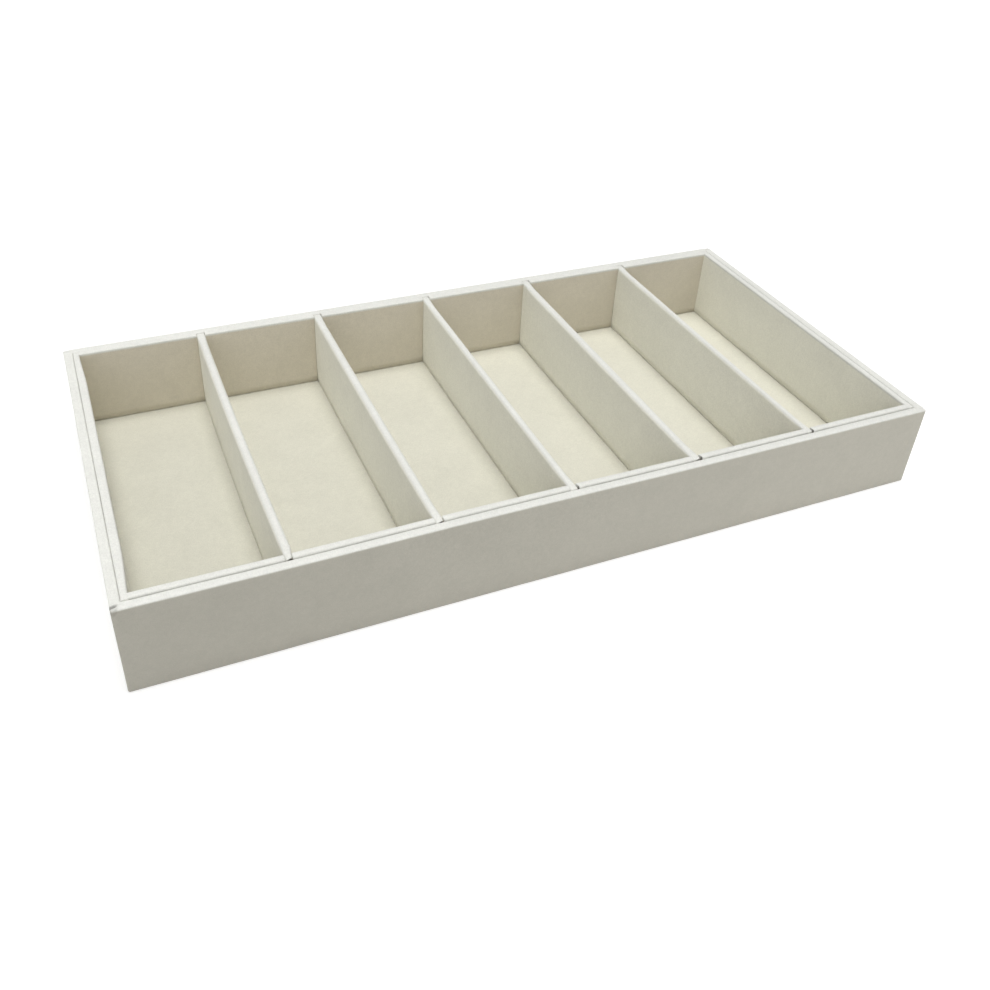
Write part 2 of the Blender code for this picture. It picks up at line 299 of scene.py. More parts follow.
class TrayStage(bpy.types.PropertyGroup):
    """The camera and the studio."""

    camera_place: bpy.props.FloatVectorProperty(
        name="Camera place", description="Where the camera stands",
        default=(-0.190455, -0.400255, 0.330057), precision=5, subtype="TRANSLATION")
    camera_turn: bpy.props.FloatVectorProperty(
        name="Camera turn", description="How the camera is turned, in degrees about X, Y and Z",
        default=(55.174014, -2.489995, -23.183965), precision=4)
    lens_mm: bpy.props.FloatProperty(
        name="Lens", description="Focal length on a 36 mm wide sensor, in millimetres",
        default=37.05088, min=10, unit="CAMERA")
    shift: bpy.props.FloatVectorProperty(
        name="Lens shift", description="Shift that the photograph's framing needs",
        default=(0.014646, -0.078391), size=2, precision=5)
    floor_width: bpy.props.FloatProperty(
        name="Floor width", description="Width of the studio floor",
        default=40, min=1, unit="LENGTH")
    overhead: bpy.props.FloatProperty(
        name="Overhead light", description="Strength of the soft light straight overhead",
        default=1.88, min=0)
    front_light: bpy.props.FloatProperty(
        name="Front light", description="Strength of the soft light from the front left",
        default=0.868, min=0)
    left_light: bpy.props.FloatProperty(
        name="Left light", description="Strength of the low soft light from the left",
        default=0.309, min=0)
    top_panel: bpy.props.FloatProperty(
        name="Top panel", description="Power of the near panel above and to the right, in watts",
        default=1.185, min=0, unit="POWER")
    front_panel: bpy.props.FloatProperty(
        name="Front panel", description="Power of the near panel at the front right, in watts",
        default=1.28, min=0, unit="POWER")
    room_light: bpy.props.FloatProperty(
        name="Room light", description="Strength of the even light from the room",
        default=0.198, min=0)


def cloth():
    """Give the cloth's sizes."""
    return bpy.context.scene.tray_cloth


def colours():
    """Give the colours."""
    return bpy.context.scene.tray_colours


def set_values(node, values):
    """Set some of a node's unlinked sockets."""
    for socket, value in values.items():
        node.inputs[socket].default_value = value


def add_node(tree, kind, values=None, links=None, **settings):
    """Add a shader node with its settings, its unlinked values and its incoming links."""
    node = tree.nodes.new(kind)
    for name, value in settings.items():
        setattr(node, name, value)
    set_values(node, values or {})
    for socket, source in (links or {}).items():
        tree.links.new(source, node.inputs[socket])
    return node


def speck_scale(size_mm):
    """Give the texture scale whose specks or clouds are about that wide."""
    return 1 / (size_mm * MM)


def add_noise(tree, place, size_mm, detail, roughness, distortion=0):
    """Add a noise pattern of about that size."""
    return add_node(tree, "ShaderNodeTexNoise", {
        "Scale": speck_scale(size_mm), "Detail": detail, "Roughness": roughness,
        "Distortion": distortion}, {"Vector": place}).outputs[0]


def add_relief(tree, coarse, share, fine):
    """Add a share of a coarse pattern to a fine one."""
    return add_node(tree, "ShaderNodeMath", {1: share}, {0: coarse, 2: fine},
                    operation="MULTIPLY_ADD").outputs[0]


def add_shade(tree, pattern, levels, shades, values=None, links=None):
    """Shade the colour in socket 0, from one shade at a pattern's low level to one at its high."""
    shade = add_node(tree, "ShaderNodeMapRange", {
        "From Min": levels[0], "From Max": levels[1], "To Min": shades[0], "To Max": shades[1]},
        {"Value": pattern}).outputs[0]
    return add_node(tree, "ShaderNodeVectorMath", values, {**(links or {}), "Scale": shade},
                    operation="SCALE").outputs[0]


def new_material(name):
    """Start a material with only its shader and output."""
    material = bpy.data.materials.new(name)
    material.use_nodes = True
    tree = material.node_tree
    return material, tree, tree.nodes["Principled BSDF"]


def finish_shader(tree, shader, colour, height, bump_values, values):
    """Link a colour and a fine relief to the shader, and set its other values."""
    bump = add_node(tree, "ShaderNodeBump", bump_values, {"Height": height})
    tree.links.new(colour, shader.inputs["Base Color"])
    tree.links.new(bump.outputs[0], shader.inputs["Normal"])
    set_values(shader, values)


def suede_material(name, colour, top, edge, light_gradient=NO_LIGHT_GRADIENT):
    """Microfibre suede: a brushed polyester nap.

    It is matt, with a soft sheen across the nap, specks where tufts of fibre lean together and
    wide pale clouds where a hand has brushed it. Real tufts are about 0.2 mm, too fine to show,
    so they are drawn about 0.5 mm wide, and longer along the tray's depth. Between two levels
    below the cloth's top it turns to a paler, more neutral colour, a painted highlight, and a
    vertex attribute paints shade into folds, grooves, slits and pits. Its colour and the
    highlight's change evenly between two given shares from the tray's left end to its right,
    as painted light and shade across the tray.
    """
    material, tree, shader = new_material(name)
    place = add_node(tree, "ShaderNodeTexCoord").outputs["Object"]
    brushed = add_node(tree, "ShaderNodeMapping", {"Scale": (1, 0.55, 0.8)}, {"Vector": place})
    tufts = add_noise(tree, brushed.outputs[0], size_mm=0.5, detail=3, roughness=0.62)
    patches = add_noise(tree, place, size_mm=2.4, detail=3, roughness=0.6, distortion=0.6)
    clouds = add_noise(tree, place, size_mm=26, detail=2.5, roughness=0.55, distortion=0.8)
    along = add_node(tree, "ShaderNodeSeparateXYZ", links={"Vector": place})
    # Painted highlight: near the cloth's top the colour turns paler and more neutral.
    stretch = add_node(tree, "ShaderNodeMapRange", {
        "From Min": top - edge[0], "From Max": top - edge[1]}, {"Value": along.outputs["Z"]},
        interpolation_type="SMOOTHSTEP")
    base = add_node(tree, "ShaderNodeMix", data_type="RGBA")
    tree.links.new(stretch.outputs[0], base.inputs["Factor"])
    # Each colour is painted evenly lighter or darker from the tray's left end to its right: painted light
    # and shade across the tray.
    for socket, base_colour, ends in (("A", colour, light_gradient), ("B", colours().edge, HIGHLIGHT_GRADIENT)):
        toned = add_shade(tree, along.outputs["X"], (-HALF_LENGTH, HALF_LENGTH), ends, {0: base_colour})
        tree.links.new(toned, base.inputs[socket])
    # Painted shade: a vertex attribute darkens the colour in folds, grooves, slits and pits.
    crease_shade = add_node(tree, "ShaderNodeAttribute", attribute_name="crease_shade").outputs["Fac"]
    shade = add_shade(tree, crease_shade, (0, 1), (1, DARKEST_PAINTED_SHADE), links={0: base.outputs["Result"]})
    # Each pattern darkens the nap by up to its depth, and lightens it by half of that.
    for pattern, depth in ((clouds, 0.03), (patches, 0.04), (tufts, 0.08)):
        shade = add_shade(tree, pattern, (0.3, 0.7), (1 - depth, 1 + depth / 2), links={0: shade})
    nap = add_relief(tree, patches, 0.6, tufts)
    finish_shader(tree, shader, shade, nap, {"Strength": 0.35, "Distance": 0.12 * MM}, {
        "Roughness": 0.92, "Specular IOR Level": 0.18, "Sheen Weight": 0.12,
        "Sheen Roughness": 0.45})
    return material


def felt_material():
    """Needled felt: short matted fibres without a weave, dull all over, with faint streaks."""
    material, tree, shader = new_material("lining_felt")
    place = add_node(tree, "ShaderNodeTexCoord").outputs["Object"]
    fibres = add_noise(tree, place, size_mm=0.6, detail=5, roughness=0.75, distortion=1.2)
    mats = add_noise(tree, place, size_mm=5, detail=3, roughness=0.6)
    mixed = add_relief(tree, mats, 0.5, fibres)
    base_colour = add_shade(tree, mixed, (0.5, 1), (0.82, 1.08), {0: colours().felt})
    finish_shader(tree, shader, base_colour, mixed, {"Strength": 0.5, "Distance": 0.15 * MM}, {
        "Roughness": 0.95, "Specular IOR Level": 0.15})
    return material


def board_material(name, colour, fibre_mm):
    """Pressed board, raw from the saw: packed fibres of that length, flat and dusty."""
    material, tree, shader = new_material(name)
    place = add_node(tree, "ShaderNodeTexCoord").outputs["Object"]
    fibres = add_noise(tree, place, fibre_mm, detail=6, roughness=0.7, distortion=0.7)
    flakes = add_node(tree, "ShaderNodeTexVoronoi", {"Scale": speck_scale(fibre_mm * 2)},
                      {"Vector": place}).outputs[0]
    mixed = add_relief(tree, flakes, 0.4, fibres)
    base_colour = add_shade(tree, mixed, (0.4, 1), (0.72, 1.15), {0: colour})
    finish_shader(tree, shader, base_colour, mixed, {"Strength": 0.3, "Distance": 0.1 * MM}, {
        "Roughness": 0.85, "Specular IOR Level": 0.25})
    return material


def block_between(low, high):
    """Start a bmesh with a box between two corners."""
    shape = bmesh.new()
    bmesh.ops.create_cube(shape, size=1)
    bmesh.ops.transform(shape, matrix=Matrix.Diagonal(high - low).to_4x4(), verts=shape.verts)
    bmesh.ops.translate(shape, vec=(low + high) / 2, verts=shape.verts)
    return shape


def level_faces(shape, way):
    """List the faces that look up, where way is 1, or down, where it is -1."""
    shape.normal_update()
    return [face for face in shape.faces if face.normal.z * way > 0.9]


def run_of(edge):
    """Give the way from an edge's first end to its second."""
    return edge.verts[1].co - edge.verts[0].co


def lies_along(edge, axis):
    """Tell whether an edge lies along an axis."""
    run = run_of(edge)
    return abs(run[axis]) > 0.99 * run.length


def divide(shape, axis, step):
    """Cut the long edges along one axis into equal lengths no longer than step."""
    longest = max(abs(run_of(edge)[axis]) for edge in shape.edges)
    long_enough = 0.4 * longest
    along = [edge for edge in shape.edges
             if abs(run_of(edge)[axis]) > long_enough and lies_along(edge, axis)]
    cuts = math.ceil(longest / step) - 1
    if cuts > 0:
        bmesh.ops.subdivide_edges(shape, edges=along, cuts=cuts, use_grid_fill=True)


def sharp_edges(shape, degrees=30):
    """List the edges where two faces meet at more than that angle."""
    shape.normal_update()
    return [edge for edge in shape.edges
            if len(edge.link_faces) == 2 and edge.calc_face_angle() > math.radians(degrees)]


def round_over(shape, edges, radius, segments):
    """Round some edges."""
    bmesh.ops.bevel(shape, geom=edges, offset=radius, offset_type="OFFSET", segments=segments,
                    profile=0.5, affect="EDGES", material=-1)


def wave(shape, seed):
    """Let the cloth stray a little from true, in slight waves that differ with the seed.

    Finer waves lie over the broad ones, a quarter as long and a third as high.
    """
    sizes = cloth()
    shape.normal_update()
    shift = Vector((seed * 3.7, seed * 1.9, seed * 5.3))
    for vert in shape.verts:
        broad = noise.noise(vert.co / sizes.wave_length + shift)
        fine = noise.noise(vert.co / (sizes.wave_length / 4) - shift) / 3
        vert.co += vert.normal * (broad + fine) * sizes.wave_height
        vert.co.z = max(vert.co.z, 0)


def bow_front(shape, top):
    """Bow the cloth of the front wall and its liner in, most at the top."""
    centre, reach, front_zone = -35 * MM, 100 * MM, -90 * MM
    for vert in shape.verts:
        across = (vert.co.x - centre) / reach
        if vert.co.y < front_zone and abs(across) < 1:
            vert.co.y += cloth().bow * (1 - across ** 2) ** 2 * min(vert.co.z / top, 1)


def finish_cloth(name, shape, material, body, replaced):
    """Turn an open skin into a cloth piece with its thickness, and put it on its body."""
    bmesh.ops.recalc_face_normals(shape, faces=shape.faces)
    mesh = bpy.data.meshes.new(name)
    shape.to_mesh(mesh)
    shape.free()
    mesh.shade_smooth()
    mesh.materials.append(material)
    piece = bpy.data.objects.new(name, mesh)
    bpy.context.scene.collection.objects.link(piece)
    skin = piece.modifiers.new("cloth_thickness", "SOLIDIFY")
    skin.thickness = cloth().thickness
    skin.offset = -1
    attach(piece, body)
    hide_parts(replaced)


def sleeve(low, high, radius, end_radius):
    """Model the cloth over an upright board, open at its foot, between two corners.

    It turns over the long top edges with the first radius and round the ends with the second.
    """
    size = high - low
    step = cloth().mesh_step
    length_axis = 0 if size.x > size.y else 1
    shape = block_between(low, high)
    bmesh.ops.delete(shape, geom=level_faces(shape, -1), context="FACES")
    for axis in range(3):
        if size[axis] > 3 * step:
            divide(shape, axis, step)
    long_edges = [edge for edge in sharp_edges(shape) if lies_along(edge, length_axis)]
    round_over(shape, long_edges, radius, WIDE_TURN)
    round_over(shape, sharp_edges(shape), end_radius, TIGHT_TURN)
    return shape


def crease_shade_layer(shape):
    """Give the layer that tells the material how much shade is painted at each point."""
    return shape.verts.layers.float.get("crease_shade") or shape.verts.layers.float.new("crease_shade")


def flatten(vert, top, radius, depth, crease_shade):
    """Make a rounded top edge only that deep, as the side of a soft groove, with shade painted darker
    towards its bottom.
    """
    fall = top - vert.co.z
    if fall < NEAR * radius:
        vert.co.z = top - fall * depth / radius
        darkness = cloth().groove_shade * depth / cloth().front_groove
        vert[crease_shade] = darkness * (fall / radius) ** 2


def flatten_side(shape, top, axis, face, radius, depth):
    """Make the rounded top edge along one upright face that deep."""
    crease_shade = crease_shade_layer(shape)
    for vert in shape.verts:
        if abs(vert.co[axis] - face) < NEAR * radius:
            flatten(vert, top, radius, depth, crease_shade)


def square_ends(shape, low, high, radius):
    """Press a divider's round top squarer towards its ends, where the slots grip it."""
    squareness = 5
    grip_end = cloth().grip_length
    grip_full = 0.3 * grip_end
    middle = (low.x + high.x) / 2
    shoulder = (high.x - low.x) / 2 - radius
    for vert in shape.verts:
        to_end = min(vert.co.y - low.y, high.y - vert.co.y)
        grip = 1 - ease(to_end, grip_full, grip_end)
        across = abs(vert.co.x - middle) - shoulder
        up = vert.co.z - (high.z - radius)
        if grip > 0 and across > 0 and up > 0:
            round_reach = math.hypot(across, up)
            square_reach = (across ** squareness + up ** squareness) ** (1 / squareness)
            stretch = 1 + grip * (round_reach / square_reach - 1)
            vert.co.x = middle + math.copysign(shoulder + across * stretch, vert.co.x - middle)
            vert.co.z = high.z - radius + up * stretch


def draw_in(shape, edges, half_x, half_y):
    """Extrude a level loop of edges inwards to a rectangle of those half sizes."""
    made = bmesh.ops.extrude_edge_only(shape, edges=edges)["geom"]
    for vert in (item for item in made if isinstance(item, bmesh.types.BMVert)):
        vert.co.x = math.copysign(min(abs(vert.co.x), half_x), vert.co.x)
        vert.co.y = math.copysign(min(abs(vert.co.y), half_y), vert.co.y)
    bmesh.ops.remove_doubles(shape, verts=shape.verts, dist=SAME_PLACE)
    fans = [edge for edge in shape.edges
            if len(edge.link_faces) == 2 and all(len(face.verts) == 3 for face in edge.link_faces)]
    bmesh.ops.dissolve_edges(shape, edges=fans)


def open_loop(shape, level):
    """List the open edges at one level."""
    return [edge for edge in shape.edges
            if edge.is_boundary and all(abs(vert.co.z - level) < SAME_PLACE for vert in edge.verts)]


def case_shell(low, high, rim_width):
    """Model the case's cloth as one skin: sides, rim, turn-in and hem."""
    sizes = cloth()
    shape = block_between(low, high)
    ends = level_faces(shape, 1) + level_faces(shape, -1)
    bmesh.ops.delete(shape, geom=ends, context="FACES")
    round_over(shape, sharp_edges(shape), sizes.corner_radius, WIDE_TURN)
    draw_in(shape, open_loop(shape, high.z), high.x - rim_width, high.y - rim_width)
    made = bmesh.ops.extrude_edge_only(shape, edges=open_loop(shape, high.z))["geom"]
    lowered = [item for item in made if isinstance(item, bmesh.types.BMVert)]
    bmesh.ops.translate(shape, vec=(0, 0, -sizes.turn_in), verts=lowered)
    draw_in(shape, open_loop(shape, low.z), high.x - sizes.hem, high.y - sizes.hem)
    for axis in range(3):
        divide(shape, axis, sizes.mesh_step)
    bmesh.ops.recalc_face_normals(shape, faces=shape.faces)
    inner = [edge for edge in sharp_edges(shape)
             if abs(edge.verts[0].co.x) < high.x - rim_width / 2
             and abs(edge.verts[0].co.y) < high.y - rim_width / 2]
    round_over(shape, inner, sizes.turn_in_radius, RIM_TURN)
    reach = sizes.turn_in_radius
    slack = 0.01 * reach
    inner_x = high.x - rim_width - slack
    inner_y = high.y - rim_width - slack
    outer_x = inner_x + reach + 2 * slack
    outer_y = inner_y + reach + 2 * slack
    crease_shade = crease_shade_layer(shape)
    # The grooves round the rim's inner edge get painted shade at their bottoms.
    for vert in shape.verts:
        if abs(vert.co.x) < outer_x and abs(vert.co.y) < outer_y:
            depth = sizes.front_groove
            if vert.co.y > inner_y:
                depth = BACK_GROOVE
            elif vert.co.x < -inner_x:
                depth = sizes.left_groove
            elif vert.co.x > inner_x:
                depth = sizes.right_groove
            flatten(vert, high.z, reach, depth, crease_shade)
    outer = [edge for edge in sharp_edges(shape, degrees=80)
             if abs(edge.verts[0].co.x) > high.x - rim_width / 2
             or abs(edge.verts[0].co.y) > high.y - rim_width / 2]
    round_over(shape, outer, sizes.rim_radius, RIM_TURN)
    return shape


def fine_cuts(shape, low, high, spacing):
    """Cut the faces in a box along a fine grid, so that a small fold can be shaped there."""
    faces = []
    for face in shape.faces:
        middle = face.calc_center_median()
        if all(low[i] < middle[i] < high[i] for i in range(3)):
            faces.append(face)
    for axis in (0, 1):
        way = Vector((axis == 0, axis == 1, 0))
        for number in range(1, round((high[axis] - low[axis]) / spacing)):
            edges = list(dict.fromkeys(edge for face in faces for edge in face.edges))
            verts = list(dict.fromkeys(vert for face in faces for vert in face.verts))
            cut = bmesh.ops.bisect_plane(
                shape, geom=faces + edges + verts, dist=SAME_PLACE / 10,
                plane_co=low + way * spacing * number, plane_no=way)
            faces = [item for item in cut["geom"] if isinstance(item, bmesh.types.BMFace)]


def ease(value, start, stop):
    """Rise smoothly from 0 to 1 as a value goes from start to stop."""
    share = min(max((value - start) / (stop - start), 0), 1)
    return share * share * (3 - 2 * share)


def cut_corner(shape, low, high, depth):
    """Draw back the top right corner of a divider's front end, which leaves a small pit, and paint shade on
    the drawn-back part of the end face.
    """
    crease_shade = crease_shade_layer(shape)
    front_zone = low.y + 2 * cloth().divider_end_radius
    steepness = 1.5
    for vert in shape.verts:
        if vert.co.y < front_zone:
            across = max(vert.co.x - low.x, 0) / (high.x - low.x)
            on_face = vert.co.y < low.y + SAME_PLACE
            cut = depth * ease(vert.co.z, high.z - PIT_FOOT, high.z - PIT_TOP)
            vert.co.y += cut * across ** steepness
            vert[crease_shade] = ease(cut * across, PIT_SHADE_START, PIT_SHADE_FULL) if on_face else 0


def stray(number, share, side):
    """Give how far a divider's face strays at a share of its length, from front to back.

    The front slots pinch the cloth of some dividers, so their faces go elsewhere there.
    """
    pinch_full, pinch_end = 0.005, 0.05
    front, back, middle = STRAYS[number][side]
    free = front + (back - front) * share + middle * 4 * share * (1 - share)
    if number in PINCHES:
        free += (PINCHES[number][side] - free) * (1 - ease(share, pinch_full, pinch_end))
    return free * MM


def bend(shape, low, high, number):
    """Bend the cloth of a divider as a hand-covered board is bent, and press it thinner."""
    for vert in shape.verts:
        share = min(max((vert.co.y - low.y) / (high.y - low.y), 0), 1)
        across = min(max((vert.co.x - low.x) / (high.x - low.x), 0), 1)
        vert.co.x += ((1 - across) * stray(number, share, LEFT)
                      + across * stray(number, share, RIGHT))


def cut_end(shape, low, depth):
    """Draw back the front corner of a liner length's left end, which leaves a slit there, and paint shade
    on the end face near the rim.
    """
    crease_shade = crease_shade_layer(shape)
    left_zone = low.x + 2 * cloth().end_radius
    for vert in shape.verts:
        if vert.co.x < left_zone:
            near_rim = 1 - ease(vert.co.y - low.y, SLIT_FULL, SLIT_END)
            on_face = vert.co.x < low.x + SAME_PLACE
            vert.co.x += depth * near_rim
            vert[crease_shade] = near_rim if on_face else 0


def swell(shape, low, high):
    """Swell the inner face of the left liner into its compartment, away from its ends."""
    outer_zone, inner_zone = 1 * MM, 0.2 * MM
    front_run, back_run = 30 * MM, 35 * MM
    for vert in shape.verts:
        across = ease(vert.co.x, low.x + outer_zone, high.x - inner_zone)
        front = ease(vert.co.y, low.y, low.y + front_run)
        back = 1 - ease(vert.co.y, high.y - back_run, high.y)
        vert.co.x += cloth().left_swell * across * front * back


def press_back(shape, low):
    """Press the inner face of the back liner in, more towards the tray's left end."""
    near_full, near_end = 0.5 * MM, 2.5 * MM
    press_start = -20 * MM
    for vert in shape.verts:
        near = 1 - ease(vert.co.y - low.y, near_full, near_end)
        left = ease(-vert.co.x, press_start, HALF_LENGTH)
        vert.co.y += cloth().back_press * near * left


def tuck(shape, high, side, end, share):
    """Press the tuck into one corner of the rim, where the end's cloth is folded over the side's.

    The rim swells up to the fold, which runs in from the side, steps down along it, and rises
    a little again before the rim's edge. Shade is painted along the step, and fades to a third of it a
    little beyond.
    """
    sizes = cloth()
    reach = 6 * MM
    rim_zone = 1 * MM
    point_spacing = 0.2 * MM
    fold_place, fold_slant = 2.45 * MM, 0.17
    fold_full = 0.45 * sizes.fold_length
    swell_share, rise_share, tail_share = 0.6, 0.35, 0.15
    corner = Vector((side * high.x, end * high.y, high.z))
    inward = corner - Vector((side * reach, end * reach, 0))
    low_corner = Vector((min(corner.x, inward.x), min(corner.y, inward.y), high.z - 2 * rim_zone))
    high_corner = Vector((max(corner.x, inward.x), max(corner.y, inward.y), high.z + rim_zone))
    fine_cuts(shape, low_corner, high_corner, point_spacing)
    shape.normal_update()
    crease_shade = crease_shade_layer(shape)
    for vert in shape.verts:
        from_side = high.x - side * vert.co.x
        from_end = high.y - end * vert.co.y
        if from_side > reach or from_end > reach or vert.co.z < high.z - rim_zone:
            continue
        before = fold_place + fold_slant * from_side - from_end
        fold = 1 - ease(from_side, fold_full, sizes.fold_length)
        tail = 1 - ease(from_side, sizes.fold_length, reach)
        along = (1 - tail_share) * fold + tail_share * tail
        drop = ease(before, 0, 0.3 * MM)
        behind = (1 - drop) * (1 - ease(-before, 0.3 * MM, 5 * MM))
        rise = ease(before, 0.5 * MM, 1.1 * MM) - ease(before, 1.4 * MM, 2.5 * MM)
        lift = swell_share * behind - drop + rise_share * rise
        vert.co.z += lift * along * share * sizes.fold_depth
        # Painted shade along the fold's step.
        shaded = ease(before, -0.1 * MM, 0.2 * MM) - 0.7 * ease(before, 0.6 * MM, 1.1 * MM)
        vert[crease_shade] = max(shaded * along * share * TUCK_SHADE, vert[crease_shade])


class TRAY_OT_case_cloth(bpy.types.Operator):
    """Model the case's one piece of suede, with its corner tucks, turn-in and hem."""

    bl_idname = "tray.case_cloth"
    bl_label = "Case cloth"

    def execute(self, context):
        low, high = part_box("case_cover")
        rim_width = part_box("left_liner_cover")[0].x - low.x - PIECE_GAP
        shape = case_shell(low, high, rim_width)
        for (side, end), share in TUCKS.items():
            tuck(shape, high, side, end, share)
        wave(shape, CASE_SEED)
        bow_front(shape, high.z)
        material = suede_material("case_suede", colours().case_suede, high.z, RIM_HIGHLIGHT,
                                  CASE_LIGHT_GRADIENT)
        finish_cloth("case_cloth", shape, material, TRAY_BODY, "case_cover")
        return {"FINISHED"}


class TRAY_OT_liner_cloth(bpy.types.Operator):
    """Model the suede over each end liner and each length of front and back liner."""

    bl_idname = "tray.liner_cloth"
    bl_label = "Liner cloth"

    def execute(self, context):
        sizes = cloth()
        radius = sizes.liner_radius
        lengths = [f"{side}_liner_{number}" for side in ("front", "back") for number in LINER_NUMBERS]
        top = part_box("left_liner_cover")[1].z
        end_suede = suede_material("end_liner_suede", colours().suede, top, LINER_HIGHLIGHT)
        cross_shade = suede_material("cross_liner_suede", colours().cross_shade, top, LINER_HIGHLIGHT,
                                     CROSS_LIGHT_GRADIENT)
        for seed, name in enumerate((*END_LINERS, *lengths), start=LINER_SEED):
            material = end_suede if name in END_LINERS else cross_shade
            low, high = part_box(f"{name}_cover")
            self.fill_gaps(name, low, high)
            shape = sleeve(low, high, radius, sizes.end_radius)
            if name == "left_liner":
                flatten_side(shape, high.z, 0, low.x, radius, sizes.left_groove)
                swell(shape, low, high)
            elif name == "right_liner":
                flatten_side(shape, high.z, 0, high.x, radius, sizes.right_groove)
            else:
                face = low.y if name.startswith("front") else high.y
                flatten_side(shape, high.z, 1, face, radius, sizes.front_groove)
            if name in CUT_LINERS:
                cut_end(shape, low, CUT_LINERS[name])
            if name.startswith("back"):
                press_back(shape, low)
            wave(shape, seed)
            if name.startswith("front"):
                bow_front(shape, high.z)
            finish_cloth(f"{name}_cloth", shape, material, TRAY_BODY, f"{name}_cover")
        return {"FINISHED"}

    def fill_gaps(self, name, low, high):
        """Move a liner's faces, so that its nap and its folded ends fill the gaps round it."""
        sizes = cloth()
        if name in END_LINERS:
            low.y -= sizes.end_press
            high.y += sizes.end_press
            if name == "left_liner":
                low.x -= sizes.left_fill
                high.x -= sizes.left_press
            else:
                high.x += sizes.groove_fill
            return
        number = int(name[-1])
        at_back = name.startswith("back")
        share = 1 if at_back else 0
        reach = PIECE_GAP + sizes.slot_pad
        first = number == LINER_NUMBERS[0]
        last = number == LINER_NUMBERS[-1]
        low.x -= sizes.corner_press if first else reach - stray(number - 1, share, RIGHT)
        high.x += sizes.corner_press if last else reach + stray(number, share, LEFT)
        if at_back:
            high.y += sizes.groove_fill
        else:
            low.y -= sizes.groove_fill


class TRAY_OT_divider_cloth(bpy.types.Operator):
    """Model the suede over each divider, which lifts out with it."""

    bl_idname = "tray.divider_cloth"
    bl_label = "Divider cloth"

    def execute(self, context):
        sizes = cloth()
        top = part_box("divider_1_cover")[1].z
        material = suede_material("divider_suede", colours().suede, top, DIVIDER_HIGHLIGHT,
                                  DIVIDER_LIGHT_GRADIENT)
        for number in DIVIDER_NUMBERS:
            name = f"divider_{number}"
            low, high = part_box(f"{name}_cover")
            low.y -= sizes.front_reach
            high.y += sizes.back_reach
            shape = sleeve(low, high, sizes.divider_radius, sizes.divider_end_radius)
            square_ends(shape, low, high, sizes.divider_radius)
            cut_corner(shape, low, high, CORNER_CUTS[number])
            bend(shape, low, high, number)
            wave(shape, DIVIDER_SEED + number)
            finish_cloth(f"{name}_cloth", shape, material, name, f"{name}_cover")
        return {"FINISHED"}


def flat_sheet(node, seed):
    """Model the upper face of a flat sheet of cloth in the box of its CAD node."""
    low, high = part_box(node)
    shape = block_between(low, high)
    sides = [face for face in shape.faces if face not in level_faces(shape, 1)]
    bmesh.ops.delete(shape, geom=sides, context="FACES")
    for axis in (0, 1):
        divide(shape, axis, cloth().mesh_step)
    wave(shape, seed)
    return shape


class TRAY_OT_floor_cloth(bpy.types.Operator):
    """Model the sheet of suede on the floor of the compartments."""

    bl_idname = "tray.floor_cloth"
    bl_label = "Floor cloth"

    def execute(self, context):
        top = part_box("floor_cover")[1].z
        material = suede_material("floor_suede", colours().floor_suede, top, FLOOR_HIGHLIGHT,
                                  FLOOR_LIGHT_GRADIENT)
        shape = flat_sheet("floor_cover", FLOOR_SEED)
        finish_cloth("floor_cloth", shape, material, TRAY_BODY, "floor_cover")
        return {"FINISHED"}


class TRAY_OT_boards(bpy.types.Operator):
    """Give the boards and the lining under the tray their finishes."""

    bl_idname = "tray.boards"
    bl_label = "Boards and lining"

    def execute(self, context):
        fibreboard = board_material("raw_fibreboard", colours().fibreboard, fibre_mm=0.5)
        greyboard = board_material("raw_greyboard", colours().greyboard, fibre_mm=0.8)
        finishes = {"fibreboard": fibreboard, "greyboard": greyboard, "lining": felt_material()}
        for entry in frame["record"]["subparts"]:
            if entry["material_slot"] in finishes:
                node = frame["nodes"][entry["node"]]
                node.data.materials.clear()
                node.data.materials.append(finishes[entry["material_slot"]])
        return {"FINISHED"}


